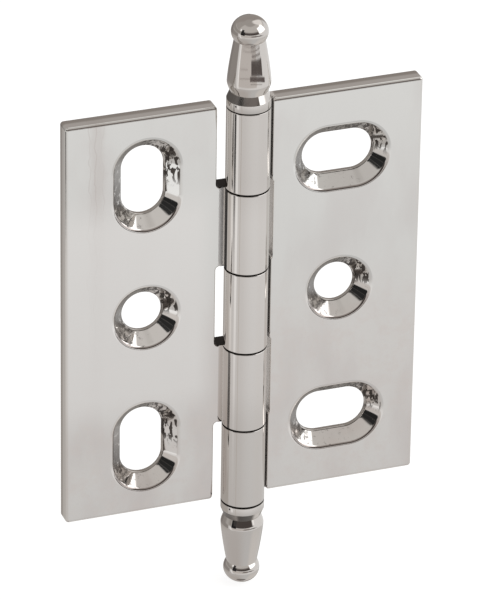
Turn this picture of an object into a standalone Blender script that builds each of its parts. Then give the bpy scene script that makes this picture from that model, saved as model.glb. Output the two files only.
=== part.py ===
"""Decorative butt hinge with two slotted leaves, a five-knuckle barrel and turned finials.

The pin's axis is the Z axis, with mid-height at the origin. The countersunk faces look towards -Y.
The frame leaf lies on the +X side and the door leaf on the -X side, opened flat.
"""

import math

import bmesh
import bpy
from mathutils import Vector

MM = 0.001

# Leaves, in millimetres like every size below
LEAF_HEIGHT = 50.0
LEAF_REACH = 21.0
LEAF_THICKNESS = 2.2
FACE_SETBACK = 0.7
CORNER_RADIUS = 0.4
EDGE_CHAMFER = 0.1

# Barrel and pin
BARREL_DIAMETER = 5.0
KNUCKLE_COUNT = 5
KNUCKLE_GAP = 0.12
PIN_DIAMETER = 2.8
PIN_CLEARANCE = 0.05
PIN_CHAMFER = 0.3

# Notches beside the other leaf's knuckles, and the groove milled along the frame leaf's barrel
NOTCH_CLEARANCE = 0.45
NOTCH_FILLET = 0.5
TAB_BACK_START = 1.5
RELIEF_WIDTH = 0.7
RELIEF_DEPTH = 0.85

# Screw holes
HOLE_EDGE_DISTANCE = 9.5
SLOT_END_DISTANCE = 8.45
HOLE_DIAMETER = 4.7
HOLE_HEAD_DIAMETER = 7.75
SLOT_WIDTH = 5.0
SLOT_HEAD_WIDTH = 7.95
SLOT_TRAVEL = 3.35
COUNTERSINK_ANGLE = 90.0
HOLE_BACK_CHAMFER = 0.2

# Finials, with heights measured from the seat on the barrel's end
FINIAL_SEAT_GAP = 0.05
COLLAR_HEIGHT = 1.0
COLLAR_SHOULDER = 0.7
GROOVE_RADIUS = 1.95
BODY_RADIUS = 2.44
BODY_HEIGHT = 3.2
TAPER_BEND = 1.35
NECK_RADIUS = 1.74
BALL_RADIUS = 2.09
BALL_HALF_HEIGHT = 1.8
BALL_CENTRE_HEIGHT = 9.05
THREAD_DEPTH = 4.0
THREAD_CLEARANCE = 0.03
THREAD_END_GAP = 0.3

# Facets
BARREL_SEGMENTS = 48
HOLE_SEGMENTS = 40
ARC_STEPS = 6
PROFILE_STEPS = 5

# What follows from the sizes above
HALF_HEIGHT = LEAF_HEIGHT / 2
BARREL_RADIUS = BARREL_DIAMETER / 2
PIN_RADIUS = PIN_DIAMETER / 2
BORE_RADIUS = PIN_RADIUS + PIN_CLEARANCE
LEAF_BACK = FACE_SETBACK + LEAF_THICKNESS
NOTCH_EDGE = max(LEAF_BACK, BARREL_RADIUS) + NOTCH_CLEARANCE
RELIEF_EDGE = BARREL_RADIUS + RELIEF_WIDTH
HOLE_LINE = LEAF_REACH - HOLE_EDGE_DISTANCE
SLOT_HEIGHT = HALF_HEIGHT - SLOT_END_DISTANCE
KNUCKLE_LENGTH = LEAF_HEIGHT / KNUCKLE_COUNT
CUT_MARGIN = BARREL_RADIUS


def arc(centre, radius, start, end, steps):
    """Points of an arc in a plane, with the angles in degrees."""
    points = []
    for step in range(steps + 1):
        angle = math.radians(start + (end - start) * step / steps)
        points.append((centre[0] + radius * math.cos(angle), centre[1] + radius * math.sin(angle)))
    return points


def make_material(name, colour, roughness):
    material = bpy.data.materials.new(name)
    material.use_nodes = True
    shader = material.node_tree.nodes["Principled BSDF"]
    shader.inputs["Base Color"].default_value = (*colour, 1.0)
    shader.inputs["Metallic"].default_value = 1.0
    shader.inputs["Roughness"].default_value = roughness
    return material


def make_object(name, mesh_builder, material=None):
    """Turn a bmesh in millimetres into an object in metres."""
    bmesh.ops.scale(mesh_builder, vec=Vector((MM, MM, MM)), verts=mesh_builder.verts)
    bmesh.ops.recalc_face_normals(mesh_builder, faces=mesh_builder.faces)
    mesh = bpy.data.meshes.new(name)
    mesh_builder.to_mesh(mesh)
    mesh_builder.free()
    piece = bpy.data.objects.new(name, mesh)
    bpy.context.collection.objects.link(piece)
    if material is not None:
        mesh.materials.append(material)
    return piece


def extrude_outline(outline, place, depth):
    """Close an outline into a prism. place() sets its 2D points in space, and depth is a vector."""
    builder = bmesh.new()
    face = builder.faces.new([builder.verts.new(place(*point)) for point in outline])
    grown = bmesh.ops.extrude_face_region(builder, geom=[face])
    moved = [item for item in grown["geom"] if isinstance(item, bmesh.types.BMVert)]
    bmesh.ops.translate(builder, vec=Vector(depth), verts=moved)
    return builder


def loft_rings(rings):
    """Join rings of equally many points into one closed solid with flat ends."""
    builder = bmesh.new()
    loops = [[builder.verts.new(point) for point in ring] for ring in rings]
    count = len(loops[0])
    for lower, upper in zip(loops, loops[1:]):
        for index in range(count):
            after = (index + 1) % count
            builder.faces.new((lower[index], lower[after], upper[after], upper[index]))
    builder.faces.new(loops[0])
    builder.faces.new(loops[-1])
    return builder


def turn_profile(profile, segments):
    """Turn (radius, height) points about the Z axis. A radius of nought closes the form in a point."""
    builder = bmesh.new()
    rings = []
    for radius, height in profile:
        if radius == 0:
            rings.append([builder.verts.new((0, 0, height))])
            continue
        angles = [2 * math.pi * index / segments for index in range(segments)]
        rings.append([builder.verts.new((radius * math.cos(a), radius * math.sin(a), height)) for a in angles])
    for lower, upper in zip(rings, rings[1:]):
        for index in range(segments):
            after = (index + 1) % segments
            if len(lower) == 1:
                builder.faces.new((lower[0], upper[after], upper[index]))
            elif len(upper) == 1:
                builder.faces.new((lower[index], lower[after], upper[0]))
            else:
                builder.faces.new((lower[index], lower[after], upper[after], upper[index]))
    return builder


def finish_smooth(piece, sharp_angle=30.0):
    piece.data.shade_smooth()
    piece.data.set_sharp_from_angle(angle=math.radians(sharp_angle))


def combine(piece, tool, operation):
    """Add a Boolean. Its cutter is a guide until the modifiers are applied."""
    tool.display_type = "WIRE"
    tool.hide_render = True
    modifier = piece.modifiers.new(f"{operation.lower()}_{tool.name}", "BOOLEAN")
    modifier.operation = operation
    modifier.solver = "EXACT"
    modifier.object = tool


def apply_modifiers(piece):
    """Bake the modifiers into the mesh, then remove the cutters that they used."""
    cutters = [item.object for item in piece.modifiers if item.type == "BOOLEAN"]
    graph = bpy.context.evaluated_depsgraph_get()
    baked = bpy.data.meshes.new_from_object(piece.evaluated_get(graph))
    piece.modifiers.clear()
    piece.data = baked
    for cutter in cutters:
        bpy.data.objects.remove(cutter, do_unlink=True)


def leaf_section(relief_depth):
    """The drawn section of a leaf on the +X side: the barrel, any groove, and the plate behind the axis."""
    floor = FACE_SETBACK + relief_depth
    crease = math.degrees(math.asin(floor / BARREL_RADIUS))
    corner_distance = math.hypot(TAB_BACK_START, LEAF_BACK)
    corner_angle = math.degrees(math.atan2(LEAF_BACK, TAB_BACK_START))
    tangent = corner_angle + math.degrees(math.acos(BARREL_RADIUS / corner_distance))
    share = (360.0 + crease - tangent) / 360.0
    outline = arc((0, 0), BARREL_RADIUS, tangent, 360.0 + crease, round(BARREL_SEGMENTS * share))
    if relief_depth > 0:
        outline += [(RELIEF_EDGE, floor), (RELIEF_EDGE, FACE_SETBACK)]
    outline += [(LEAF_REACH, FACE_SETBACK), (LEAF_REACH, LEAF_BACK), (TAB_BACK_START, LEAF_BACK)]
    return outline


def leaf_outline(own_knuckles):
    """The leaf seen from the front on the +X side, with a notch beside each knuckle it lacks."""
    corner = CORNER_RADIUS
    fillet = NOTCH_FILLET
    reach_in = -BARREL_RADIUS - CUT_MARGIN
    outline = arc((LEAF_REACH - corner, corner - HALF_HEIGHT), corner, -90, 0, ARC_STEPS)
    outline += arc((LEAF_REACH - corner, HALF_HEIGHT - corner), corner, 0, 90, ARC_STEPS)
    for index in range(KNUCKLE_COUNT):
        top = HALF_HEIGHT - index * KNUCKLE_LENGTH
        bottom = top - KNUCKLE_LENGTH
        at_top = index == 0
        at_bottom = index == KNUCKLE_COUNT - 1
        if index in own_knuckles:
            start = top if at_top else top - KNUCKLE_GAP / 2
            end = bottom if at_bottom else bottom + KNUCKLE_GAP / 2
            outline += [(reach_in, start), (reach_in, end)]
            continue
        if at_top:
            outline += arc((NOTCH_EDGE + corner, top - corner), corner, 90, 180, ARC_STEPS)
        else:
            start = top + KNUCKLE_GAP / 2
            outline += arc((NOTCH_EDGE - fillet, start - fillet), fillet, 90, 0, ARC_STEPS)
        if at_bottom:
            outline += arc((NOTCH_EDGE + corner, bottom + corner), corner, 180, 270, ARC_STEPS)
        else:
            end = bottom - KNUCKLE_GAP / 2
            outline += arc((NOTCH_EDGE - fillet, end + fillet), fillet, 0, -90, ARC_STEPS)
    return outline


def countersunk_cutter(name, place, width, head_width, travel, travel_along_z):
    """A screw hole's form: a cone down to a straight land with its back edge broken, drawn out by the travel."""
    slope = math.tan(math.radians(COUNTERSINK_ANGLE / 2))
    cone_depth = (head_width - width) / 2 / slope
    levels = (
        (FACE_SETBACK - CORNER_RADIUS, head_width / 2 + CORNER_RADIUS * slope),
        (FACE_SETBACK + cone_depth, width / 2),
        (LEAF_BACK - HOLE_BACK_CHAMFER, width / 2),
        (LEAF_BACK + CORNER_RADIUS, width / 2 + HOLE_BACK_CHAMFER + CORNER_RADIUS),
    )
    rings = []
    for depth, radius in levels:
        ring = []
        for index in range(HOLE_SEGMENTS):
            angle = 2 * math.pi * (index + 0.5) / HOLE_SEGMENTS
            across = radius * math.cos(angle)
            along = radius * math.sin(angle) + math.copysign(travel / 2, math.sin(angle))
            x, z = (across, along) if travel_along_z else (along, across)
            ring.append((place[0] + x, depth, place[1] + z))
        rings.append(ring)
    return make_object(name, loft_rings(rings))


def make_leaf(name, side, own_knuckles, slots_along_z, relief_depth, material):
    """A leaf is its drawn section cut to its front outline, then bored and countersunk."""

    def section_place(x, y):
        return (side * x, y, -HALF_HEIGHT - CUT_MARGIN)

    def outline_place(x, z):
        return (side * x, -BARREL_RADIUS - CUT_MARGIN, z)

    full_height = LEAF_HEIGHT + 2 * CUT_MARGIN
    section = extrude_outline(leaf_section(relief_depth), section_place, (0, 0, full_height))
    leaf = make_object(name, section, material)
    depth = BARREL_RADIUS + LEAF_BACK + 2 * CUT_MARGIN
    blank = make_object(f"{name}_outline", extrude_outline(leaf_outline(own_knuckles), outline_place, (0, depth, 0)))
    combine(leaf, blank, "INTERSECT")

    ends = (-HALF_HEIGHT - CUT_MARGIN, HALF_HEIGHT + CUT_MARGIN)
    bore_profile = [(0, ends[0]), (BORE_RADIUS, ends[0]), (BORE_RADIUS, ends[1]), (0, ends[1])]
    combine(leaf, make_object(f"{name}_bore", turn_profile(bore_profile, BARREL_SEGMENTS)), "DIFFERENCE")

    holes = (
        ("top_slot", SLOT_HEIGHT, SLOT_WIDTH, SLOT_HEAD_WIDTH, SLOT_TRAVEL),
        ("hole", 0.0, HOLE_DIAMETER, HOLE_HEAD_DIAMETER, 0.0),
        ("bottom_slot", -SLOT_HEIGHT, SLOT_WIDTH, SLOT_HEAD_WIDTH, SLOT_TRAVEL),
    )
    for label, height, width, head_width, travel in holes:
        place = (side * HOLE_LINE, height)
        cutter = countersunk_cutter(f"{name}_{label}", place, width, head_width, travel, slots_along_z)
        combine(leaf, cutter, "DIFFERENCE")

    edges = leaf.modifiers.new("edge_chamfer", "BEVEL")
    edges.limit_method = "ANGLE"
    edges.angle_limit = math.radians(60)
    edges.width = EDGE_CHAMFER * MM
    edges.segments = 1
    apply_modifiers(leaf)
    finish_smooth(leaf)
    return leaf


def finial_profile():
    """Half of the finial's outline, from the threaded hole's rim round to the top of the ball."""
    bore = PIN_RADIUS + THREAD_CLEARANCE
    bore_depth = THREAD_DEPTH + THREAD_END_GAP - FINIAL_SEAT_GAP
    groove_height = COLLAR_HEIGHT + COLLAR_SHOULDER
    neck_turn = math.degrees(math.acos(NECK_RADIUS / BALL_RADIUS))
    neck_height = BALL_CENTRE_HEIGHT - BALL_HALF_HEIGHT * math.sin(math.radians(neck_turn))
    profile = [(0, bore_depth), (bore, bore_depth), (bore, 0), (BARREL_RADIUS, 0), (BARREL_RADIUS, COLLAR_HEIGHT)]
    for step in range(PROFILE_STEPS):
        turn = math.radians(90 * step / PROFILE_STEPS)
        radius = GROOVE_RADIUS + (BODY_RADIUS - GROOVE_RADIUS) * math.sin(turn)
        profile.append((radius, BODY_HEIGHT - (BODY_HEIGHT - groove_height) * math.cos(turn)))
    for step in range(PROFILE_STEPS):
        share = step / PROFILE_STEPS
        radius = BODY_RADIUS + (NECK_RADIUS - BODY_RADIUS) * share**TAPER_BEND
        profile.append((radius, BODY_HEIGHT + (neck_height - BODY_HEIGHT) * share))
    ball_steps = 2 * PROFILE_STEPS
    for step in range(ball_steps):
        turn = math.radians(-neck_turn + (90 + neck_turn) * step / ball_steps)
        profile.append((BALL_RADIUS * math.cos(turn), BALL_CENTRE_HEIGHT + BALL_HALF_HEIGHT * math.sin(turn)))
    profile.append((0, BALL_CENTRE_HEIGHT + BALL_HALF_HEIGHT))
    return profile


def make_finial(name, side, material):
    seat = HALF_HEIGHT + FINIAL_SEAT_GAP
    profile = [(radius, side * (seat + height)) for radius, height in finial_profile()]
    finial = make_object(name, turn_profile(profile, BARREL_SEGMENTS), material)
    finish_smooth(finial)
    return finial


def make_pin(name, material):
    end = HALF_HEIGHT + THREAD_DEPTH
    profile = [
        (0, -end),
        (PIN_RADIUS - PIN_CHAMFER, -end),
        (PIN_RADIUS, -end + PIN_CHAMFER),
        (PIN_RADIUS, end - PIN_CHAMFER),
        (PIN_RADIUS - PIN_CHAMFER, end),
        (0, end),
    ]
    pin = make_object(name, turn_profile(profile, BARREL_SEGMENTS), material)
    finish_smooth(pin)
    return pin


def build():
    for item in list(bpy.data.objects):
        bpy.data.objects.remove(item, do_unlink=True)
    nickel = make_material("polished_nickel", (0.76, 0.74, 0.71), 0.12)
    steel = make_material("bright_steel", (0.60, 0.60, 0.60), 0.30)
    frame_knuckles = range(0, KNUCKLE_COUNT, 2)
    door_knuckles = range(1, KNUCKLE_COUNT, 2)
    make_leaf("frame_leaf", 1, frame_knuckles, False, RELIEF_DEPTH, nickel)
    make_leaf("door_leaf", -1, door_knuckles, True, 0.0, nickel)
    make_pin("hinge_pin", steel)
    make_finial("top_finial", 1, nickel)
    make_finial("bottom_finial", -1, nickel)


build()
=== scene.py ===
"""Looks of the decorative butt hinge: polished nickel leaves, barrel and finials in a light studio."""

import math
import random

import bmesh
import bpy
from mathutils import Matrix, Vector


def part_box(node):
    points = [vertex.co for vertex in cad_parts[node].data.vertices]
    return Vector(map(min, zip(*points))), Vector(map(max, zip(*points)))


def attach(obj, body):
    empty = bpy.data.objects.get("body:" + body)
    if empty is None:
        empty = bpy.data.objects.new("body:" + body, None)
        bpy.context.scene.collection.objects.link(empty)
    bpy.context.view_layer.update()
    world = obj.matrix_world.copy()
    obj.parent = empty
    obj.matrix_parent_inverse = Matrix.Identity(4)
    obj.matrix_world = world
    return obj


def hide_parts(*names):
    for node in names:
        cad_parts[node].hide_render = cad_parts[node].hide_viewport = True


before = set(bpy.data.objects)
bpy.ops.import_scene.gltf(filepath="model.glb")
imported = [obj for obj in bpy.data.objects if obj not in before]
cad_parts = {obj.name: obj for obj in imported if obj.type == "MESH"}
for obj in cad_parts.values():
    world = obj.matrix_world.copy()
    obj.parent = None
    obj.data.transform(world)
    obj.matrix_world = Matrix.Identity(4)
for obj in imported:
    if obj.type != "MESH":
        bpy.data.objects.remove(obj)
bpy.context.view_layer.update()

MM = 0.001

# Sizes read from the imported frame, in millimetres
frame_low, frame_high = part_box("frame_leaf")
pin_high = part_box("hinge_pin")[1]
finial_low, finial_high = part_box("top_finial")
LEAF_REACH = frame_high.x / MM
HALF_HEIGHT = frame_high.z / MM
LEAF_BACK = frame_high.y / MM
BARREL_RADIUS = -frame_low.y / MM
PIN_RADIUS = pin_high.x / MM
THREAD_DEPTH = pin_high.z / MM - HALF_HEIGHT
FINIAL_SEAT = finial_low.z / MM
FINIAL_HEIGHT = (finial_high.z - finial_low.z) / MM

# Sizes that the boxes don't give, as in the part's source
LEAF_THICKNESS = 2.2
KNUCKLE_COUNT = 5
KNUCKLE_GAP = 0.12
BORE_RADIUS = PIN_RADIUS + 0.05
NOTCH_CLEARANCE = 0.45
NOTCH_FILLET = 0.5
CORNER_RADIUS = 0.4
TAB_BACK_START = 1.5
RELIEF_WIDTH = 0.7
RELIEF_DEPTH = 0.85
HOLE_LINE = LEAF_REACH - 9.5
SLOT_HEIGHT = HALF_HEIGHT - 8.45
HOLE_DIAMETER = 4.7
HOLE_HEAD_DIAMETER = 7.75
SLOT_WIDTH = 5.0
SLOT_HEAD_WIDTH = 7.95
SLOT_TRAVEL = 3.35
COUNTERSINK_ANGLE = 84.0
COLLAR_HEIGHT = 1.0
COLLAR_SHOULDER = 0.9
COLLAR_ROUND = 0.15
GROOVE_RADIUS = 2.12
BODY_RADIUS = 2.47
BODY_HEIGHT = 3.05
TAPER_BEND = 1.3
BULGE_ANGLE = 21.0
BULGE_CONE_RADIUS = 2.34
NECK_RADIUS = 1.76
BALL_RADIUS = 2.09
BALL_HALF_HEIGHT = 1.8
FINIAL_BORE_RADIUS = PIN_RADIUS + 0.03
FINIAL_BORE_DEPTH = THREAD_DEPTH + 0.25

FACE_SETBACK = LEAF_BACK - LEAF_THICKNESS
NOTCH_EDGE = max(LEAF_BACK, BARREL_RADIUS) + NOTCH_CLEARANCE
RELIEF_EDGE = BARREL_RADIUS + RELIEF_WIDTH
KNUCKLE_LENGTH = 2 * HALF_HEIGHT / KNUCKLE_COUNT
CUT_MARGIN = BARREL_RADIUS
BALL_CENTRE_HEIGHT = FINIAL_HEIGHT - BALL_HALF_HEIGHT

# Softened edges, by where they are
OUTER_EDGE = 0.38
INNER_EDGE = 0.16
KNUCKLE_EDGE = 0.12
RIM_ROUND = 0.7
LAND_ROUND = 0.6
BACK_ROUND = 0.2
EDGE_SEGMENTS = 6
RIM_STEPS = 8
RIM_START_ANGLE = 8.0

# Fineness of the meshes
BARREL_SEGMENTS = 180
HOLE_SEGMENTS = 160
CONE_RINGS = 10
ARC_STEPS = 10
PROFILE_STEPS = 16
TURNED_SEGMENTS = 160

# How the meshes are cleaned and shaded: millimetres, square millimetres and degrees
SMALLEST_EDGE = 0.0008
LARGE_FACE_AREA = 3.0
EDGE_MARGIN = 0.01
FACE_MARGIN = 0.02
SQUARE_ON = 0.9995
FLAT_ANGLE = 0.4
SOFTENED_ANGLE = 40
SHARP_ANGLE = 32

# Marks of the countersinking tool on the cones
CHATTER_DEPTH = 0.010
CHATTER_WAVES = (23, 37, 53, 71)
CHATTER_PATCHES = (2, 3)
CHATTER_SEED = 7


def arc(centre, radius, start, end, steps):
    """Points of an arc in a plane, with the angles in degrees."""
    points = []
    for step in range(steps + 1):
        angle = math.radians(start + (end - start) * step / steps)
        points.append((centre[0] + radius * math.cos(angle), centre[1] + radius * math.sin(angle)))
    return points


def make_object(name, builder):
    """Turn a bmesh in millimetres into an object in millimetres, for the modelling steps."""
    bmesh.ops.recalc_face_normals(builder, faces=builder.faces)
    mesh = bpy.data.meshes.new(name)
    builder.to_mesh(mesh)
    builder.free()
    piece = bpy.data.objects.new(name, mesh)
    bpy.context.scene.collection.objects.link(piece)
    return piece


def extrude_outline(outline, place, depth):
    """A prism: the outline's points set in space by place, and the face drawn out along depth."""
    builder = bmesh.new()
    face = builder.faces.new([builder.verts.new(place(*point)) for point in outline])
    grown = bmesh.ops.extrude_face_region(builder, geom=[face])
    moved = [item for item in grown["geom"] if isinstance(item, bmesh.types.BMVert)]
    bmesh.ops.translate(builder, vec=Vector(depth), verts=moved)
    return builder


def loft_rings(rings):
    """A closed form through rings of points that lie one behind another."""
    builder = bmesh.new()
    loops = [[builder.verts.new(point) for point in ring] for ring in rings]
    count = len(loops[0])
    for lower, upper in zip(loops, loops[1:]):
        for index in range(count):
            after = (index + 1) % count
            builder.faces.new((lower[index], lower[after], upper[after], upper[index]))
    builder.faces.new(loops[0])
    builder.faces.new(loops[-1])
    return builder


def turn_profile(profile, segments):
    """Turn (radius, height) points about the Z axis. A radius of nought closes the form in a point."""
    builder = bmesh.new()
    rings = []
    for radius, height in profile:
        if radius == 0:
            rings.append([builder.verts.new((0, 0, height))])
            continue
        angles = [2 * math.pi * index / segments for index in range(segments)]
        points = [(radius * math.cos(angle), radius * math.sin(angle), height) for angle in angles]
        rings.append([builder.verts.new(point) for point in points])
    for lower, upper in zip(rings, rings[1:]):
        for index in range(segments):
            after = (index + 1) % segments
            if len(lower) == 1:
                builder.faces.new((lower[0], upper[after], upper[index]))
            elif len(upper) == 1:
                builder.faces.new((lower[index], lower[after], upper[0]))
            else:
                builder.faces.new((lower[index], lower[after], upper[after], upper[index]))
    return builder


def combine(piece, tool, operation):
    """Cut the piece by the tool, or keep what both share, once its modifiers are applied."""
    modifier = piece.modifiers.new(tool.name, "BOOLEAN")
    modifier.operation = operation
    modifier.solver = "EXACT"
    modifier.object = tool
    tool.hide_render = True


def apply_modifiers(piece):
    """Bake the modifiers into the mesh, then remove the cutters that they used."""
    cutters = [item.object for item in piece.modifiers if item.type == "BOOLEAN"]
    graph = bpy.context.evaluated_depsgraph_get()
    baked = bpy.data.meshes.new_from_object(piece.evaluated_get(graph))
    piece.modifiers.clear()
    piece.data = baked
    for cutter in cutters:
        bpy.data.objects.remove(cutter, do_unlink=True)


def leaf_section(relief_depth):
    """The drawn section on the +X side: the barrel, any groove beside it, and the plate."""
    floor = FACE_SETBACK + relief_depth
    crease = math.degrees(math.asin(floor / BARREL_RADIUS))
    corner_distance = math.hypot(TAB_BACK_START, LEAF_BACK)
    corner_angle = math.degrees(math.atan2(LEAF_BACK, TAB_BACK_START))
    tangent = corner_angle + math.degrees(math.acos(BARREL_RADIUS / corner_distance))
    share = (360.0 + crease - tangent) / 360.0
    outline = arc((0, 0), BARREL_RADIUS, tangent, 360.0 + crease, round(BARREL_SEGMENTS * share))
    if relief_depth > 0:
        outline += [(RELIEF_EDGE, floor), (RELIEF_EDGE, FACE_SETBACK)]
    outline += [(LEAF_REACH, FACE_SETBACK), (LEAF_REACH, LEAF_BACK), (TAB_BACK_START, LEAF_BACK)]
    return outline


def leaf_outline(own_knuckles):
    """The leaf seen from the front on the +X side, with a notch beside each knuckle it lacks."""
    corner = CORNER_RADIUS
    fillet = NOTCH_FILLET
    reach_in = -BARREL_RADIUS - CUT_MARGIN
    outline = arc((LEAF_REACH - corner, corner - HALF_HEIGHT), corner, -90, 0, ARC_STEPS)
    outline += arc((LEAF_REACH - corner, HALF_HEIGHT - corner), corner, 0, 90, ARC_STEPS)
    for index in range(KNUCKLE_COUNT):
        top = HALF_HEIGHT - index * KNUCKLE_LENGTH
        bottom = top - KNUCKLE_LENGTH
        at_top = index == 0
        at_bottom = index == KNUCKLE_COUNT - 1
        if index in own_knuckles:
            start = top if at_top else top - KNUCKLE_GAP / 2
            end = bottom if at_bottom else bottom + KNUCKLE_GAP / 2
            outline += [(reach_in, start), (reach_in, end)]
            continue
        if at_top:
            outline += arc((NOTCH_EDGE + corner, top - corner), corner, 90, 180, ARC_STEPS)
        else:
            start = top + KNUCKLE_GAP / 2
            outline += arc((NOTCH_EDGE - fillet, start - fillet), fillet, 90, 0, ARC_STEPS)
        if at_bottom:
            outline += arc((NOTCH_EDGE + corner, bottom + corner), corner, 180, 270, ARC_STEPS)
        else:
            end = bottom - KNUCKLE_GAP / 2
            outline += arc((NOTCH_EDGE - fillet, end + fillet), fillet, 0, -90, ARC_STEPS)
    return outline


def chatter(draws):
    """A seeded function of turn (radians) and share of depth: the tool's ripples on one cone."""
    waves = [(count, draws.uniform(0.4, 1.0), draws.uniform(0, 2 * math.pi), draws.uniform(-3, 3))
             for count in CHATTER_WAVES]
    patches = [(count, draws.uniform(0, 2 * math.pi)) for count in CHATTER_PATCHES]

    def depth_at(turn, share):
        strength = 0.55 + 0.225 * sum(math.sin(count * turn + shift) for count, shift in patches)
        wave = 0.0
        for count, size, shift, twist in waves:
            wave += size * math.sin(count * turn + shift + twist * share)
        return CHATTER_DEPTH * strength * wave / len(waves) * math.sin(math.pi * share) ** 0.5

    return depth_at


def countersunk_profile(width, head_width):
    """Depth, radius and share of the cone for each ring of a screw hole, from the front to the back."""
    half_angle = COUNTERSINK_ANGLE / 2
    tilt = 90 - half_angle
    cone_depth = (head_width - width) / 2 / math.tan(math.radians(half_angle))
    rim_reach = RIM_ROUND * math.tan(math.radians(tilt / 2))
    land_reach = LAND_ROUND * math.tan(math.radians(half_angle / 2))
    rim_centre = (FACE_SETBACK + RIM_ROUND, head_width / 2 + rim_reach)
    land_centre = (FACE_SETBACK + cone_depth + land_reach, width / 2 + LAND_ROUND)
    back_centre = (LEAF_BACK - BACK_ROUND, width / 2 + BACK_ROUND)
    rim = arc(rim_centre, RIM_ROUND, 180 + RIM_START_ANGLE, 180 + tilt, RIM_STEPS)
    land = arc(land_centre, LAND_ROUND, 180 + tilt, 270, RIM_STEPS)
    back = arc(back_centre, BACK_ROUND, 270, 340, EDGE_SEGMENTS)
    lead = math.radians(RIM_START_ANGLE)
    first = (rim[0][0] - RIM_ROUND * math.sin(lead), rim[0][1] + RIM_ROUND * math.cos(lead))
    last = (back[-1][0] + BACK_ROUND, back[-1][1] + BACK_ROUND)
    cone = []
    for ring in range(1, CONE_RINGS):
        share = ring / CONE_RINGS
        depth = rim[-1][0] + (land[0][0] - rim[-1][0]) * share
        cone.append((depth, rim[-1][1] + (land[0][1] - rim[-1][1]) * share, share))
    plain = [(*point, 0.0) for point in [first] + rim]
    return plain + cone + [(*point, 0.0) for point in land + back + [last]]


def countersunk_cutter(name, place, width, head_width, travel, travel_along_z, draws):
    """A screw hole's form: a soft rim, a rippled cone, and a straight land behind it."""
    ripple = chatter(draws)
    rings = []
    for depth, radius, share in countersunk_profile(width, head_width):
        ring = []
        for index in range(HOLE_SEGMENTS):
            turn = 2 * math.pi * (index + 0.5) / HOLE_SEGMENTS
            reach = radius + (ripple(turn, share) if share > 0 else 0.0)
            across = reach * math.cos(turn)
            along = reach * math.sin(turn) + math.copysign(travel / 2, math.sin(turn))
            x, z = (across, along) if travel_along_z else (along, across)
            ring.append((place[0] + x, depth, place[1] + z))
        rings.append(ring)
    return make_object(name, loft_rings(rings))


def edge_softness(edge):
    """The rounding in millimetres that an edge of a leaf gets."""
    if len(edge.link_faces) != 2 or not edge.is_convex:
        return 0.0
    if math.degrees(edge.calc_face_angle()) < SOFTENED_ANGLE:
        return 0.0
    barrel_limit = BARREL_RADIUS + EDGE_MARGIN
    on_barrel = [math.hypot(vert.co.x, vert.co.y) < barrel_limit for vert in edge.verts]
    if all(on_barrel):
        return KNUCKLE_EDGE
    if any(on_barrel):
        return 0.0
    middle = (edge.verts[0].co + edge.verts[1].co) / 2
    outer_limit = CORNER_RADIUS + EDGE_MARGIN
    at_end = abs(abs(middle.z) - HALF_HEIGHT) < outer_limit
    at_side = abs(abs(middle.x) - LEAF_REACH) < outer_limit
    return OUTER_EDGE if at_end or at_side else INNER_EDGE


def soften_edges(piece):
    """Clean the cut mesh and round its edges, each by its own softness."""
    builder = bmesh.new()
    builder.from_mesh(piece.data)
    bmesh.ops.remove_doubles(builder, verts=builder.verts, dist=SMALLEST_EDGE)
    bmesh.ops.dissolve_degenerate(builder, edges=builder.edges, dist=SMALLEST_EDGE)
    flat_angle = math.radians(FLAT_ANGLE)
    bmesh.ops.dissolve_limit(builder, angle_limit=flat_angle, verts=builder.verts, edges=builder.edges)
    layer = builder.edges.layers.float.new("bevel_weight_edge")
    for edge in builder.edges:
        edge[layer] = edge_softness(edge) / OUTER_EDGE
    builder.to_mesh(piece.data)
    builder.free()
    edges = piece.modifiers.new("edges", "BEVEL")
    edges.limit_method = "WEIGHT"
    edges.width = OUTER_EDGE
    edges.segments = EDGE_SEGMENTS
    edges.use_clamp_overlap = False
    edges.harden_normals = True


def settle_normals(mesh):
    """Large flat faces keep their own normal at every corner, so that no shading runs across them."""
    normals = [tuple(corner.vector) for corner in mesh.corner_normals]
    for face in mesh.polygons:
        off_barrel = math.hypot(face.center.x, face.center.y) > BARREL_RADIUS + FACE_MARGIN
        square_on = max(abs(part) for part in face.normal) > SQUARE_ON
        if face.area > LARGE_FACE_AREA or (off_barrel and square_on):
            for corner in face.loop_indices:
                normals[corner] = tuple(face.normal)
    mesh.normals_split_custom_set(normals)


def to_metres(piece):
    piece.data.transform(Matrix.Diagonal((MM, MM, MM, 1.0)))


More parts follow.
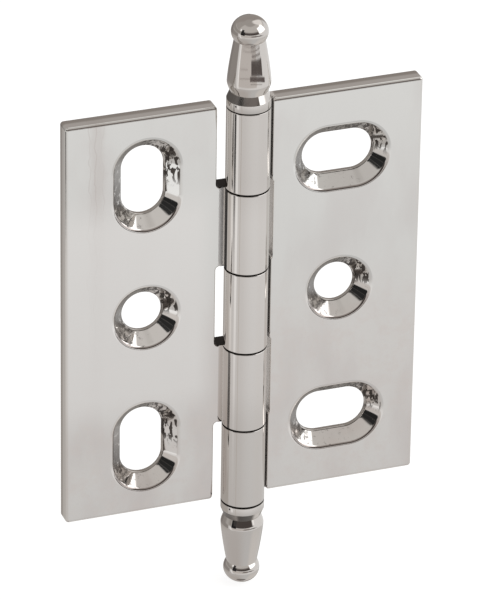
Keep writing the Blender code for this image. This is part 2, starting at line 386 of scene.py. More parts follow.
def make_leaf(name, node, side, own_knuckles, slots_along_z, relief_depth, draws):
    """The fine leaf: the drawn section cut to its outline, bored, countersunk and softened."""

    def section_place(x, y):
        return (side * x, y, -HALF_HEIGHT - CUT_MARGIN)

    def outline_place(x, z):
        return (side * x, -BARREL_RADIUS - CUT_MARGIN, z)

    full_height = 2 * HALF_HEIGHT + 2 * CUT_MARGIN
    section = extrude_outline(leaf_section(relief_depth), section_place, (0, 0, full_height))
    leaf = make_object(name, section)
    leaf.data.shade_smooth()
    depth = BARREL_RADIUS + LEAF_BACK + 2 * CUT_MARGIN
    blank = extrude_outline(leaf_outline(own_knuckles), outline_place, (0, depth, 0))
    combine(leaf, make_object(f"{name}_outline", blank), "INTERSECT")
    apply_modifiers(leaf)
    soften_edges(leaf)
    apply_modifiers(leaf)
    ends = (-HALF_HEIGHT - CUT_MARGIN, HALF_HEIGHT + CUT_MARGIN)
    bore_profile = [(0, ends[0]), (BORE_RADIUS, ends[0]), (BORE_RADIUS, ends[1]), (0, ends[1])]
    combine(leaf, make_object(f"{name}_bore", turn_profile(bore_profile, BARREL_SEGMENTS)), "DIFFERENCE")
    for label, height, width, head_width, travel in (
        ("top_slot", SLOT_HEIGHT, SLOT_WIDTH, SLOT_HEAD_WIDTH, SLOT_TRAVEL),
        ("hole", 0.0, HOLE_DIAMETER, HOLE_HEAD_DIAMETER, 0.0),
        ("bottom_slot", -SLOT_HEIGHT, SLOT_WIDTH, SLOT_HEAD_WIDTH, SLOT_TRAVEL),
    ):
        place = (side * HOLE_LINE, height)
        cutter = countersunk_cutter(f"{name}_{label}", place, width, head_width, travel, slots_along_z, draws)
        combine(leaf, cutter, "DIFFERENCE")
    apply_modifiers(leaf)
    leaf.data.shade_smooth()
    leaf.data.set_sharp_from_angle(angle=math.radians(SHARP_ANGLE))
    leaf.modifiers.new("normals", "WEIGHTED_NORMAL").keep_sharp = True
    apply_modifiers(leaf)
    settle_normals(leaf.data)
    to_metres(leaf)
    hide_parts(node)
    return leaf


def finial_profile():
    """Half of the finial's outline, from the threaded hole's rim round to the top of the ball."""
    groove_height = COLLAR_HEIGHT + COLLAR_SHOULDER
    edge = KNUCKLE_EDGE
    neck_turn = math.degrees(math.acos(NECK_RADIUS / BALL_RADIUS))
    neck_height = BALL_CENTRE_HEIGHT - BALL_HALF_HEIGHT * math.sin(math.radians(neck_turn))
    profile = [(0, FINIAL_BORE_DEPTH), (FINIAL_BORE_RADIUS, FINIAL_BORE_DEPTH), (FINIAL_BORE_RADIUS, 0)]
    profile += arc((BARREL_RADIUS - edge, edge), edge, -90, 0, EDGE_SEGMENTS)
    slope = math.degrees(math.atan2(BARREL_RADIUS - GROOVE_RADIUS, COLLAR_SHOULDER))
    drop = COLLAR_ROUND * math.tan(math.radians(slope / 2))
    round_centre = (BARREL_RADIUS - COLLAR_ROUND, COLLAR_HEIGHT - drop)
    profile += arc(round_centre, COLLAR_ROUND, 0, slope, EDGE_SEGMENTS)
    flare = math.tan(math.radians(BULGE_ANGLE))
    cone_end = (BULGE_CONE_RADIUS, groove_height + (BULGE_CONE_RADIUS - GROOVE_RADIUS) / flare)
    bend = (BODY_RADIUS, groove_height + (BODY_RADIUS - GROOVE_RADIUS) / flare)
    profile.append((GROOVE_RADIUS, groove_height))
    for step in range(PROFILE_STEPS):
        share = step / PROFILE_STEPS
        weights = ((1 - share) ** 2, 2 * share * (1 - share), share**2)
        radius = weights[0] * cone_end[0] + weights[1] * bend[0] + weights[2] * BODY_RADIUS
        profile.append((radius, weights[0] * cone_end[1] + weights[1] * bend[1] + weights[2] * BODY_HEIGHT))
    for step in range(PROFILE_STEPS):
        share = step / PROFILE_STEPS
        radius = BODY_RADIUS + (NECK_RADIUS - BODY_RADIUS) * share**TAPER_BEND
        profile.append((radius, BODY_HEIGHT + (neck_height - BODY_HEIGHT) * share))
    ball_steps = 3 * PROFILE_STEPS
    for step in range(ball_steps):
        turn = math.radians(-neck_turn + (90 + neck_turn) * step / ball_steps)
        profile.append((BALL_RADIUS * math.cos(turn), BALL_CENTRE_HEIGHT + BALL_HALF_HEIGHT * math.sin(turn)))
    profile.append((0, BALL_CENTRE_HEIGHT + BALL_HALF_HEIGHT))
    return profile


def make_finial(name, node, side):
    """The fine finial. Side is 1 above the barrel and -1 below it."""
    profile = [(radius, side * (FINIAL_SEAT + height)) for radius, height in finial_profile()]
    finial = make_object(name, turn_profile(profile, TURNED_SEGMENTS))
    finial.data.shade_smooth()
    finial.data.set_sharp_from_angle(angle=math.radians(SHARP_ANGLE))
    to_metres(finial)
    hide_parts(node)
    return finial


class Nodes:
    """A short way to lay out a shader's nodes."""

    def __init__(self, tree):
        self.tree = tree
        tree.nodes.clear()

    def add(self, kind, settings=None, inputs=None):
        node = self.tree.nodes.new(kind)
        for key, value in (settings or {}).items():
            setattr(node, key, value)
        for key, value in (inputs or {}).items():
            if isinstance(value, bpy.types.NodeSocket):
                self.tree.links.new(value, node.inputs[key])
            else:
                node.inputs[key].default_value = value
        return node

    def maths(self, operation, first, second=0.0):
        return self.add("ShaderNodeMath", {"operation": operation}, {0: first, 1: second}).outputs[0]

    def times(self, first, *others):
        for value in others:
            first = self.maths("MULTIPLY", first, value)
        return first

    def largest(self, first, *others):
        for value in others:
            first = self.maths("MAXIMUM", first, value)
        return first

    def wrap(self, value, low, high):
        return self.add("ShaderNodeMath", {"operation": "WRAP"}, {0: value, 1: high, 2: low}).outputs[0]

    def split(self, vector):
        return self.add("ShaderNodeSeparateXYZ", {}, {0: vector}).outputs

    def stretch(self, place, scale, rotation=(0.0, 0.0, 0.0)):
        settings = {"Vector": place, "Scale": scale, "Rotation": rotation}
        return self.add("ShaderNodeMapping", {}, settings).outputs[0]

    def noise(self, place, scale, detail, **others):
        settings = {"Vector": place, "Scale": scale, "Detail": detail, **others}
        return self.add("ShaderNodeTexNoise", {}, settings).outputs["Fac"]

    def ramp_between(self, value, low, high, result_low=0.0, result_high=1.0):
        """A smooth step of value from low to high."""
        node = self.add(
            "ShaderNodeMapRange",
            {"interpolation_type": "SMOOTHSTEP"},
            {"Value": value, "From Min": low, "From Max": high, "To Min": result_low, "To Max": result_high},
        )
        return node.outputs[0]

    def straight_between(self, value, low, high, result_low, result_high):
        node = self.add(
            "ShaderNodeMapRange",
            {},
            {"Value": value, "From Min": low, "From Max": high, "To Min": result_low, "To Max": result_high},
        )
        return node.outputs[0]

    def band(self, value, low, high, soft):
        """One between low and high, falling to nought over soft on both sides."""
        rise = self.ramp_between(value, low - soft, low + soft)
        fall = self.ramp_between(value, high - soft, high + soft, 1.0, 0.0)
        return self.maths("MULTIPLY", rise, fall)

    def mix_colour(self, share, first, second, label=""):
        node = self.add("ShaderNodeMix", {"data_type": "RGBA", "label": label}, {0: share})
        for index, value in ((6, first), (7, second)):
            if isinstance(value, bpy.types.NodeSocket):
                self.tree.links.new(value, node.inputs[index])
            else:
                node.inputs[index].default_value = (*value, 1.0)
        return node.outputs[2]

    def metal(self, colour, rough, others=None):
        settings = {"Base Color": colour, "Metallic": 1.0, "Roughness": rough, **(others or {})}
        self.end("ShaderNodeOutputMaterial", self.add("ShaderNodeBsdfPrincipled", {}, settings))

    def join(self, kind, first, second, inputs=None):
        """Mix or add two shaders. A mix takes its share as input 0, before the shaders."""
        node = self.add(kind, {}, inputs)
        sockets = node.inputs[len(inputs or {}):]
        self.tree.links.new(first.outputs[0], sockets[0])
        self.tree.links.new(second.outputs[0], sockets[1])
        return node

    def end(self, kind, shader):
        self.tree.links.new(shader.outputs[0], self.add(kind).inputs[0])


# Colours of the plate and of the pits, stain and tool scoring on it, and of the painted reflection, highlight
# and shade
PLATE_COLOUR = (0.80, 0.79, 0.765)
CLOUD_COLOUR = (0.70, 0.66, 0.64)
WARM_COLOUR = (0.765, 0.70, 0.665)
STAIN_COLOUR = (0.60, 0.54, 0.51)
MIDDLE_REFLECTION_COLOUR = (0.88, 0.855, 0.83)
TURNED_COLOUR = (0.70, 0.665, 0.635)
TURNED_REFLECTION_COLOUR = (0.77, 0.735, 0.705)
SIDE_SHADE_COLOUR = (0.58, 0.55, 0.52)
SIDE_HIGHLIGHT_COLOUR = (0.98, 0.97, 0.96)
SATIN_LIGHT_COLOUR = (0.96, 0.94, 0.92)
PIT_COLOUR = (0.42, 0.40, 0.38)
EDGE_SHADE_COLOUR = (0.30, 0.25, 0.23)
JOINT_AND_SHADE_COLOUR = (0.035, 0.030, 0.028)
HOLE_MARK_AND_SHADE_COLOUR = (0.10, 0.088, 0.08)

# How strong the painted shade is in each place, with the holes' tool scoring
EDGE_SHADE = 0.8
GROOVE_SHADE = 0.72
UPPER_COLLAR_SHADE = 0.7
LOWER_COLLAR_SHADE = 0.78
HOLE_MARK_AND_SHADE = 0.9

# The stain's lines on the door leaf: centre and half width in millimetres, strength, and shift of the waves
STAIN_LINES = (
    (-17.3, 0.75, 0.34, 0.0),
    (-18.2, 0.04, 0.6, 40.0),
    (-17.5, 0.07, 0.8, 80.0),
    (-16.7, 0.04, 0.65, 120.0),
)
STAIN_DRIFT = 1.1
# Dark lines at the joints between the knuckles and the finials: height and half width, in millimetres
JOINT_LINES = [(HALF_HEIGHT - KNUCKLE_LENGTH * joint, 0.05) for joint in range(KNUCKLE_COUNT)]
JOINT_LINES.append((-HALF_HEIGHT, 0.13))
# Painted shade: dark strips on the barrel in the crease beside the door leaf: height range, turn range in
# degrees, strength
CORNER_SHADES = (
    ((KNUCKLE_LENGTH / 2, KNUCKLE_LENGTH * 1.5), (80, 101), 1.0),
    ((-KNUCKLE_LENGTH * 1.5, -KNUCKLE_LENGTH / 2), (61, 68), 0.75),
)

# The photo's camera, from a fit: angles in degrees, places in millimetres, clipping in metres
CAMERA_AZIMUTH = -20.15
CAMERA_ELEVATION = 28.19
CAMERA_ROLL = 0.91
CAMERA_DISTANCE = 605.3
CAMERA_FOCUS_PIXELS = 5391.0
CAMERA_TARGET = (-0.48, 0.0, 0.75)
CAMERA_NEAR = 0.01
CAMERA_FAR = 20.0
LONG_SIDE_PIXELS = 600
SENSOR_WIDTH = 36.0

# The floor, in millimetres, and the lamp over it, in metres
FLOOR_HALF_SIZE = 3000.0
FLOOR_GAP = 0.2
FLOOR_COLOUR = (0.30, 0.30, 0.30, 1.0)
FLOOR_GLOW = 0.86
WHITE = (1.0, 1.0, 1.0, 1.0)
LAMP_SIZE = 0.5
LAMP_ENERGY = 1.5
LAMP_PLACE = (0.15, -0.1, 0.7)

# Studio surroundings. Azimuth is measured from the camera's own side, positive to its right. The grey level
# rises with elevation between these angles, and the patches' edges wobble, all in degrees.
STUDIO_LOW = (-33.0, 0.62)
STUDIO_HIGH = (-24.5, 0.86)
WOBBLE = 1.6
WOBBLE_SCALE = 5.0
# Each patch: name, azimuth from and to, elevation from and to, softness, colour
STUDIO_PATCHES = (
    ("low_left", (-230, 0, -100, -34), 40, (0.53, 0.50, 0.48)),
    ("low_right", (60, 230, -75, -34), 15, (0.72, 0.70, 0.68)),
    ("nadir", (-190, 190, -100, -76), 3, (0.22, 0.20, 0.19)),
    ("ceiling", (-190, 190, 22, 95), 2, (0.42, 0.40, 0.38)),
    ("high_front", (-75, 95, 24, 66), 6, (0.60, 0.58, 0.56)),
    ("top_light", (95, 150, 26, 75), 8, (0.95, 0.93, 0.91)),
    ("back_wall", (148, 190, -6, 60), 6, (0.37, 0.34, 0.32)),
    ("back_wall_left", (-190, -128, -6, 60), 6, (0.37, 0.34, 0.32)),
    ("crescent", (-56, 62, 1, 22), 1.2, (0.21, 0.19, 0.18)),
    ("crescent_dark", (-30, 62, 2, 14), 2.5, (0.08, 0.07, 0.065)),
    ("front_dim", (-58, 40, -20, -1), 1.5, (0.64, 0.61, 0.59)),
    ("left_low", (-190, -80, -34, -24), 4.0, (0.48, 0.455, 0.43)),
    ("left_side", (-190, -73, -24, 0), 4.0, (0.33, 0.31, 0.295)),
    ("left_upper", (-190, -56, 0, 22), 6.0, (0.36, 0.34, 0.32)),
    ("left_far", (-230, -128, -24, 0), 12.0, (0.24, 0.22, 0.21)),
    ("left_light", (-61, -55, -24, -3), 1.3, (1.05, 1.05, 1.05)),
    ("left_barrel_light", (-62, -49, -28.9, -24.5), 1.6, (0.95, 0.95, 0.95)),
    ("left_edge", (-74.0, -64.0, -27.3, -25.6), 0.6, (0.02, 0.02, 0.02)),
    ("stand_high", (-54, -38, 21.5, 35), 1.2, (0.03, 0.03, 0.03)),
    ("stand_middle", (-56, -30, 9, 21.5), 1.2, (0.025, 0.025, 0.025)),
    ("stand_low", (-56, -30, -5, 9), 1.2, (0.02, 0.02, 0.02)),
    ("small_light", (-66, -57, 22, 34), 1.6, (1.2, 1.2, 1.2)),
    ("side_light", (58, 108, 6, 44), 3.0, (2.0, 2.0, 2.0)),
    ("rear_low", (150, 190, -62, -33), 6.0, (0.34, 0.32, 0.30)),
    ("rear_light", (124, 132, -28, -26), 1.5, (1.2, 1.2, 1.2)),
    ("fine_line", (-36.5, -33.5, -34, -24), 0.8, (0.56, 0.53, 0.50)),
)
# Dark things in front of the hinge, which the finial's long taper mirrors as level bars. Away from the
# camera's side they rise, so that their mirror images stay level.
STUDIO_BARS = (
    ("wide_bar", (11, 74, -11.0, -7.2), 0.3, (0.12, 0.105, 0.10)),
    ("low_bar", (5, 88, -13.4, -11.3), 0.25, (0.14, 0.12, 0.115)),
    ("foot_line", (8, 70, -15.2, -14.7), 0.25, (0.24, 0.22, 0.21)),
    ("line_low", (14, 68, -6.7, -6.3), 0.12, (0.18, 0.16, 0.15)),
    ("line_middle", (8, 70, -5.85, -5.55), 0.1, (0.24, 0.22, 0.21)),
    ("line_top", (8, 66, -5.15, -4.75), 0.1, (0.15, 0.13, 0.12)),
    ("faint_top", (-50, 8, -5.1, -4.9), 0.1, (0.40, 0.37, 0.35)),
    ("faint_middle", (-46, 8, -5.8, -5.6), 0.1, (0.44, 0.41, 0.39)),
    ("faint_low", (-50, -8, -9.4, -9.1), 0.15, (0.44, 0.41, 0.39)),
    ("faint_foot", (-50, 5, -12.3, -11.9), 0.15, (0.40, 0.37, 0.35)),
)
BAR_LIFT = 17.0


def make_world():
    """The studio as the metal mirrors it, and plain white where the camera sees past the hinge."""
    world = bpy.data.worlds.new("studio")
    bpy.context.scene.world = world
    world.use_nodes = True
    nodes = Nodes(world.node_tree)
    place = nodes.add("ShaderNodeTexCoord").outputs["Generated"]
    east, north, height = nodes.split(place)
    shake = nodes.times(nodes.maths("SUBTRACT", nodes.noise(place, WOBBLE_SCALE, 2.0), 0.5), WOBBLE)
    turn = nodes.maths("ARCTAN2", east, nodes.times(north, -1.0))
    azimuth = nodes.maths("SUBTRACT", nodes.maths("DEGREES", turn), CAMERA_AZIMUTH)
    azimuth = nodes.wrap(azimuth, -180.0, 180.0)
    elevation = nodes.maths("DEGREES", nodes.maths("ARCSINE", height))
    loose_azimuth = nodes.maths("ADD", azimuth, shake)
    loose_elevation = nodes.maths("ADD", elevation, nodes.times(shake, 0.5))
    (low, low_light), (high, high_light) = STUDIO_LOW, STUDIO_HIGH
    level = nodes.straight_between(loose_elevation, low, high, low_light, high_light)
    colour = nodes.add("ShaderNodeCombineColor", {}, {0: level, 1: level, 2: level}).outputs[0]
    half_turn = nodes.maths("COSINE", nodes.maths("RADIANS", nodes.times(azimuth, 0.5)))
    lift = nodes.times(nodes.maths("SUBTRACT", 1.0, half_turn), BAR_LIFT)
    lifted = nodes.maths("ADD", elevation, lift)
    for patches, across_by, up_by in (
        (STUDIO_PATCHES, loose_azimuth, loose_elevation),
        (STUDIO_BARS, azimuth, lifted),
    ):
        for name, (left, right, bottom, top), soft, tint in patches:
            across = nodes.band(across_by, left, right, soft)
            upward = nodes.band(up_by, bottom, top, soft)
            colour = nodes.mix_colour(nodes.times(across, upward), colour, tint, name)
    surroundings = nodes.add("ShaderNodeBackground", {}, {"Color": colour, "Strength": 1.0})
    white = nodes.add("ShaderNodeBackground", {}, {"Color": WHITE, "Strength": 1.0})
    seen = nodes.add("ShaderNodeLightPath").outputs["Is Camera Ray"]
    nodes.end("ShaderNodeOutputWorld", nodes.join("ShaderNodeMixShader", surroundings, white, {0: seen}))


def new_material(name):
    material = bpy.data.materials.new(name)
    material.use_nodes = True
    return material, Nodes(material.node_tree)


class PlatePoint:
    """Where a point of the plated parts lies, in millimetres, and which way it faces."""

    def __init__(self, nodes):
        source = nodes.add("ShaderNodeTexCoord")
        self.place = nodes.stretch(source.outputs["Object"], (1 / MM, 1 / MM, 1 / MM))
        self.x, self.y, self.z = nodes.split(self.place)
        self.facing_x, facing_y, self.facing_z = nodes.split(source.outputs["Normal"])
        self.reach = nodes.maths("ABSOLUTE", self.x)
        self.height = nodes.maths("ABSOLUTE", self.z)
        self.upright = nodes.maths("ABSOLUTE", self.facing_z)
        self.frontal = nodes.maths("ABSOLUTE", facing_y)
        squares = nodes.maths("ADD", nodes.times(self.x, self.x), nodes.times(self.y, self.y))
        self.radius = nodes.maths("SQRT", squares)
        # Shares of the turned parts, of the plates, and of the plates' faces that look sideways
        self.turned = nodes.ramp_between(self.radius, BARREL_RADIUS + 0.02, BARREL_RADIUS + 0.12, 1.0, 0.0)
        self.plate = nodes.maths("SUBTRACT", 1.0, self.turned)
        self.sideways = nodes.times(nodes.ramp_between(self.frontal, 0.35, 0.6, 1.0, 0.0), self.plate)


def plate_colour(nodes, point):
    """Clouded nickel, warmer and mottled in its lower half, with a wavy stain near the door leaf's edge."""
    cloud = nodes.noise(nodes.stretch(point.place, (0.16, 0.16, 0.06)), 1.0, 4.0)
    clouds = nodes.ramp_between(cloud, 0.42, 0.72)
    clouds = nodes.times(clouds, nodes.ramp_between(point.z, -22.0, 12.0, 1.0, 0.45))
    colour = nodes.mix_colour(clouds, PLATE_COLOUR, CLOUD_COLOUR)

    mottle = nodes.noise(point.place, 0.7, 5.0, Roughness=0.7)
    warmth = nodes.ramp_between(mottle, 0.42, 0.68, 0.28, 0.62)
    warmth = nodes.times(warmth, nodes.ramp_between(point.z, -7.0, 7.0, 1.0, 0.0))
    colour = nodes.mix_colour(warmth, colour, WARM_COLOUR)

    stain = 0.0
    for centre, half_width, strength, shift in STAIN_LINES:
        settings = {"W": nodes.maths("ADD", point.z, shift), "Scale": 0.3, "Detail": 4.0}
        drift = nodes.add("ShaderNodeTexNoise", {"noise_dimensions": "1D"}, settings).outputs["Fac"]
        drift = nodes.times(nodes.maths("SUBTRACT", drift, 0.5), STAIN_DRIFT)
        off_line = nodes.maths("ADD", point.x, drift)
        soft = 0.07 + 0.6 * half_width
        line = nodes.band(off_line, centre - half_width, centre + half_width, soft)
        stain = nodes.largest(stain, nodes.times(line, strength))
    stain = nodes.times(stain, nodes.ramp_between(point.z, -14.0, 2.0))
    stain = nodes.times(stain, nodes.ramp_between(cloud, 0.3, 0.6, 0.5, 1.0))
    return nodes.mix_colour(stain, colour, STAIN_COLOUR)


def tint_parts(nodes, point, colour):
    """Painted light and shade: the door leaf and the turned parts are lighter at mid height with a painted
    reflection, the turned parts are duller, and the leaves' outer sides are dark behind with painted shade
    and light in front with a painted highlight."""
    # Painted reflection: a lighter band at mid height on the door leaf and on the turned parts.
    middle = nodes.band(point.z, -12.0, 14.0, 3.0)
    painted_reflection = nodes.times(middle, nodes.ramp_between(point.x, -6.0, -2.6, 0.8, 0.0))
    colour = nodes.mix_colour(painted_reflection, colour, MIDDLE_REFLECTION_COLOUR)
    turned_colour = nodes.mix_colour(middle, TURNED_COLOUR, TURNED_REFLECTION_COLOUR)
    colour = nodes.mix_colour(point.turned, colour, turned_colour)
    # Painted shade on the back of the leaves' outer sides, and a painted highlight on their front.
    side = nodes.ramp_between(point.reach, NOTCH_EDGE + 0.2, NOTCH_EDGE + 0.5)
    side = nodes.times(point.sideways, side)
    side = nodes.times(side, nodes.ramp_between(point.y, LEAF_BACK - 1.3, LEAF_BACK - 0.8, -0.35, 1.0))
    colour = nodes.mix_colour(nodes.largest(side, 0.0), colour, SIDE_SHADE_COLOUR)
    return nodes.mix_colour(nodes.largest(nodes.times(side, -1.6), 0.0), colour, SIDE_HIGHLIGHT_COLOUR)


def pit_share(nodes, point):
    """A few small pits in the plating."""
    speck = nodes.add("ShaderNodeTexVoronoi", {}, {"Vector": point.place, "Scale": 0.42}).outputs
    rare = nodes.add("ShaderNodeSeparateColor", {}, {0: speck["Color"]}).outputs[0]
    return nodes.times(
        nodes.ramp_between(speck["Distance"], 0.03, 0.07, 1.0, 0.0),
        nodes.ramp_between(rare, 0.90, 0.92),
    )


def edge_shade_share(nodes, point):
    """Painted shade: a thin dark line along the upward edges and the lower rims of the holes, standing in for
    the dark reflection there.
    """
    return nodes.times(
        nodes.band(point.frontal, 0.80, 0.95, 0.03),
        nodes.ramp_between(point.facing_z, 0.1, 0.3),
        point.plate,
        EDGE_SHADE,
    )


def joint_and_shade_share(nodes, point):
    """Dark places: painted shade on the level faces in the joints and notches, in the milled groove, on the
    collars' shoulders and on the strips beside the door leaf, and the dark lines between the knuckles."""
    # Painted shade on the level faces at the knuckles' ends and on the tabs' tops, in the joints and notches.
    below_top = nodes.ramp_between(point.height, HALF_HEIGHT + 0.1, HALF_HEIGHT + 0.11, 1.0, 0.0)
    knuckle_end = nodes.times(point.turned, below_top)
    tab_end = nodes.times(
        nodes.ramp_between(point.reach, NOTCH_EDGE + 0.7, NOTCH_EDGE + 0.9, 1.0, 0.0),
        nodes.ramp_between(point.height, HALF_HEIGHT - 1.0, HALF_HEIGHT - 0.9, 1.0, 0.0),
    )
    level = nodes.ramp_between(point.upright, 0.45, 0.7)
    dark = nodes.times(level, nodes.largest(knuckle_end, tab_end))

    # Painted shade in the milled groove beside the frame leaf's barrel.
    in_groove = nodes.times(
        nodes.ramp_between(point.radius, BARREL_RADIUS + 0.02, BARREL_RADIUS + 0.04),
        nodes.ramp_between(point.reach, RELIEF_EDGE + 0.01, RELIEF_EDGE + 0.03, 1.0, 0.0),
        nodes.band(point.y, FACE_SETBACK + 0.06, FACE_SETBACK + RELIEF_DEPTH + 0.03, 0.03),
    )
    dark = nodes.largest(dark, nodes.times(in_groove, GROOVE_SHADE))

    for joint, half_width in JOINT_LINES:
        line = nodes.band(point.z, joint - half_width, joint + half_width, 0.02)
        dark = nodes.largest(dark, nodes.times(line, point.turned))

    # Painted shade on the collars' shoulders, strongest on the lower finial and on the sides facing -X,
    # standing in for dark reflections there.
    shoulder_start = FINIAL_SEAT + COLLAR_HEIGHT
    shoulder = nodes.band(point.height, shoulder_start, shoulder_start + COLLAR_SHOULDER, 0.03)
    lower_shade = nodes.times(
        nodes.ramp_between(point.z, -1.0, 1.0, LOWER_COLLAR_SHADE, 0.0),
        nodes.band(point.facing_x, -0.55, 0.22, 0.12),
    )
    left_shade = nodes.ramp_between(point.facing_x, -0.9, -0.1, UPPER_COLLAR_SHADE, 0.0)
    collar = nodes.times(shoulder, point.turned, nodes.largest(lower_shade, left_shade))
    dark = nodes.largest(dark, collar)

    # Painted shade in the crease between the barrel and the door leaf.
    turn = nodes.maths("ARCTAN2", nodes.times(point.x, -1.0), nodes.times(point.y, -1.0))
    turn = nodes.maths("DEGREES", turn)
    for (low, high), (start, end), strength in CORNER_SHADES:
        strip = nodes.times(nodes.band(turn, start, end, 1.5), nodes.band(point.z, low, high, 0.05))
        dark = nodes.largest(dark, nodes.times(strip, strength, point.turned))
    return dark


def hole_marks_and_shade_share(nodes, point):
    """Rough, dark tool scoring in the countersinks, darker still with painted shade on the walls that face
    right and down, and streaked ripples on their upper right walls.
    """
    from_hole = nodes.maths("ABSOLUTE", nodes.maths("SUBTRACT", point.reach, HOLE_LINE))
    in_hole = nodes.times(
        nodes.ramp_between(from_hole, 6.4, 6.5, 1.0, 0.0),
        nodes.band(point.y, FACE_SETBACK + 0.12, LEAF_BACK - 0.05, 0.04),
        nodes.ramp_between(point.height, HALF_HEIGHT - 2.0, HALF_HEIGHT - 1.9, 1.0, 0.0),
    )
    from_centre = nodes.wrap(point.z, -SLOT_HEIGHT / 2, SLOT_HEIGHT / 2)
    # Painted shade: the walls that face right and down are darkened more.
    shade_facing = nodes.maths("ADD", nodes.times(point.facing_x, 0.55), nodes.times(point.facing_z, -0.40))
    uneven = nodes.maths("SUBTRACT", nodes.noise(point.place, 1.7, 5.0, Roughness=0.7), 0.5)
    uneven = nodes.times(uneven, 2.4)
    marks_and_shade = nodes.times(
        nodes.ramp_between(nodes.maths("ADD", uneven, shade_facing), -0.15, 0.35),
        HOLE_MARK_AND_SHADE,
        nodes.ramp_between(from_centre, -3.0, 2.5, 1.0, 0.7),
    )
    streaks = nodes.stretch(point.place, (2.8, 1.0, 0.9), (0.0, 0.7, 0.0))
    upper_right = nodes.times(nodes.maths("ADD", point.facing_x, point.facing_z), -0.7)
    ripples = nodes.times(
        nodes.ramp_between(nodes.noise(streaks, 1.0, 2.0, Distortion=0.6), 0.50, 0.54),
        nodes.ramp_between(upper_right, 0.34, 0.48),
        nodes.ramp_between(from_centre, -1.2, 0.6),
    )
    return nodes.times(nodes.largest(marks_and_shade, ripples), in_hole)


def satin_light_share(nodes, point, dark):
    """Duller faces with painted light: the frame leaf's notch walls, and the door leaf's front beside its
    upper knuckle, rougher and painted a lighter colour.
    """
    notch_wall = nodes.times(
        point.sideways,
        nodes.ramp_between(point.reach, NOTCH_EDGE + 0.2, NOTCH_EDGE + 0.5, 1.0, 0.0),
        nodes.ramp_between(point.x, 0.0, 0.5),
    )
    beside_knuckle = nodes.times(
        nodes.ramp_between(point.frontal, 0.9, 0.95),
        nodes.band(point.x, -3.1, -2.2, 0.1),
        nodes.band(point.z, KNUCKLE_LENGTH / 2, KNUCKLE_LENGTH * 1.5, 0.05),
    )
    satin_and_light = nodes.largest(nodes.times(beside_knuckle, 0.7), notch_wall)
    return nodes.times(satin_and_light, nodes.maths("SUBTRACT", 1.0, dark))


def make_nickel(name):
    """Polished nickel plate. The turned parts are a little duller, and the hidden joint faces are dark with
    painted shade; painted reflections, highlights and shade are mixed into its colour as well.
    """
    material, nodes = new_material(name)
    point = PlatePoint(nodes)
    dark = joint_and_shade_share(nodes, point)
    marks_and_shade = hole_marks_and_shade_share(nodes, point)
    satin_and_light = satin_light_share(nodes, point, dark)
    colour = tint_parts(nodes, point, plate_colour(nodes, point))
    for share, tint in (
        (pit_share(nodes, point), PIT_COLOUR),
        (edge_shade_share(nodes, point), EDGE_SHADE_COLOUR),
        (dark, JOINT_AND_SHADE_COLOUR),
        (marks_and_shade, HOLE_MARK_AND_SHADE_COLOUR),
        (satin_and_light, SATIN_LIGHT_COLOUR),
    ):
        colour = nodes.mix_colour(share, colour, tint)
    wipe = nodes.noise(nodes.stretch(point.place, (0.9, 0.9, 0.11)), 1.0, 3.0)
    rough = nodes.straight_between(wipe, 0.3, 0.75, 0.03, 0.07)
    for share, added in ((dark, 0.45), (marks_and_shade, 0.25), (satin_and_light, 0.5)):
        rough = nodes.maths("ADD", rough, nodes.times(share, added))
    wave = {"Strength": 0.25, "Distance": 0.00001, "Height": nodes.noise(point.place, 0.26, 1.0)}
    nodes.metal(colour, rough, {"Normal": nodes.add("ShaderNodeBump", {}, wave).outputs[0]})
    return material


def make_steel(name):
    """Bright drawn steel, with fine rings where the pin turns in its knuckles."""
    material, nodes = new_material(name)
    place = nodes.add("ShaderNodeTexCoord").outputs["Object"]
    wear = nodes.noise(nodes.stretch(place, (60.0, 60.0, 9000.0)), 1.0, 2.0)
    rough = nodes.straight_between(wear, 0.3, 0.7, 0.22, 0.42)
    nodes.metal(nodes.mix_colour(wear, (0.50, 0.49, 0.48), (0.62, 0.61, 0.60)), rough)
    return material


def make_floor():
    """A plain white floor under the hinge. It adds light of its own where the camera sees it."""
    builder = bmesh.new()
    bmesh.ops.create_grid(builder, x_segments=1, y_segments=1, size=FLOOR_HALF_SIZE)
    floor = make_object("floor", builder)
    floor.location.z = (-FINIAL_SEAT - FINIAL_HEIGHT - FLOOR_GAP) * MM
    to_metres(floor)
    material, nodes = new_material("floor_white")
    matt = nodes.add("ShaderNodeBsdfDiffuse", {}, {"Color": FLOOR_COLOUR})
    glow = nodes.add("ShaderNodeEmission", {}, {"Color": WHITE, "Strength": FLOOR_GLOW})
    bright = nodes.join("ShaderNodeAddShader", matt, glow)
    seen = nodes.add("ShaderNodeLightPath").outputs["Is Camera Ray"]
    nodes.end("ShaderNodeOutputMaterial", nodes.join("ShaderNodeMixShader", matt, bright, {0: seen}))
    floor.data.materials.append(material)
    floor.visible_glossy = False


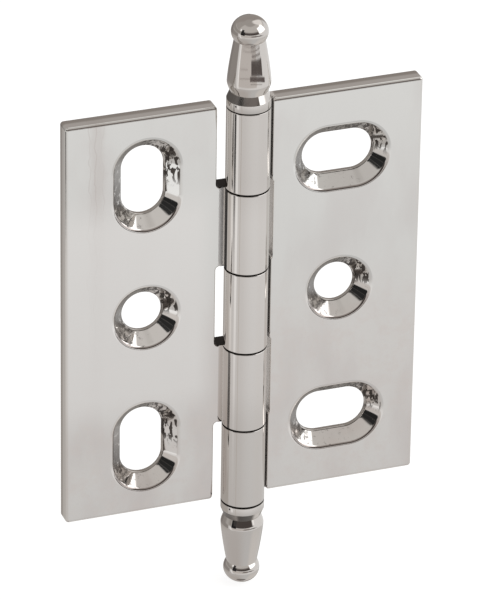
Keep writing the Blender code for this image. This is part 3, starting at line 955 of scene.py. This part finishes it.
def make_camera():
    """The photo's camera, with its own roll."""
    azimuth = math.radians(CAMERA_AZIMUTH)
    elevation = math.radians(CAMERA_ELEVATION)
    back = Vector((
        math.sin(azimuth) * math.cos(elevation),
        -math.cos(azimuth) * math.cos(elevation),
        math.sin(elevation),
    ))
    camera = bpy.data.objects.new("camera", bpy.data.cameras.new("camera"))
    bpy.context.scene.collection.objects.link(camera)
    camera.data.sensor_width = SENSOR_WIDTH
    camera.data.lens = CAMERA_FOCUS_PIXELS * SENSOR_WIDTH / LONG_SIDE_PIXELS
    camera.data.clip_start = CAMERA_NEAR
    camera.data.clip_end = CAMERA_FAR
    camera.location = (Vector(CAMERA_TARGET) + back * CAMERA_DISTANCE) * MM
    turn = back.to_track_quat("Z", "Y").to_matrix().to_4x4()
    roll = Matrix.Rotation(math.radians(CAMERA_ROLL), 4, "Z")
    camera.rotation_euler = (turn @ roll).to_euler()
    bpy.context.scene.camera = camera


def make_lamp():
    """One soft lamp overhead, for the floor's shadow."""
    lamp = bpy.data.objects.new("top_lamp", bpy.data.lights.new("top_lamp", "AREA"))
    lamp.data.size = LAMP_SIZE
    lamp.data.energy = LAMP_ENERGY
    lamp.location = LAMP_PLACE
    lamp.rotation_euler = (-lamp.location).to_track_quat("-Z", "Y").to_euler()
    lamp.visible_glossy = False
    bpy.context.scene.collection.objects.link(lamp)


def make_pieces():
    """The plated pieces, each with the body that it rides on."""
    draws = random.Random(CHATTER_SEED)
    frame_knuckles = range(0, KNUCKLE_COUNT, 2)
    door_knuckles = range(1, KNUCKLE_COUNT, 2)
    return [
        (
            make_leaf("frame_leaf_plated", "frame_leaf", 1, frame_knuckles, False, RELIEF_DEPTH, draws),
            "frame_side",
        ),
        (make_leaf("door_leaf_plated", "door_leaf", -1, door_knuckles, True, 0.0, draws), "door_side"),
        (make_finial("top_finial_plated", "top_finial", 1), "frame_side"),
        (make_finial("bottom_finial_plated", "bottom_finial", -1), "frame_side"),
    ]


def dress():
    """Put the plated pieces on their bodies, and give each piece its material."""
    nickel = make_nickel("nickel_plate")
    for piece, body in make_pieces():
        piece.data.materials.clear()
        piece.data.materials.append(nickel)
        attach(piece, body)
    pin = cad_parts["hinge_pin"]
    pin.data.materials.clear()
    pin.data.materials.append(make_steel("pin_steel"))


bpy.context.scene.view_settings.view_transform = "Standard"
make_camera()
make_world()
make_lamp()
make_floor()
dress()
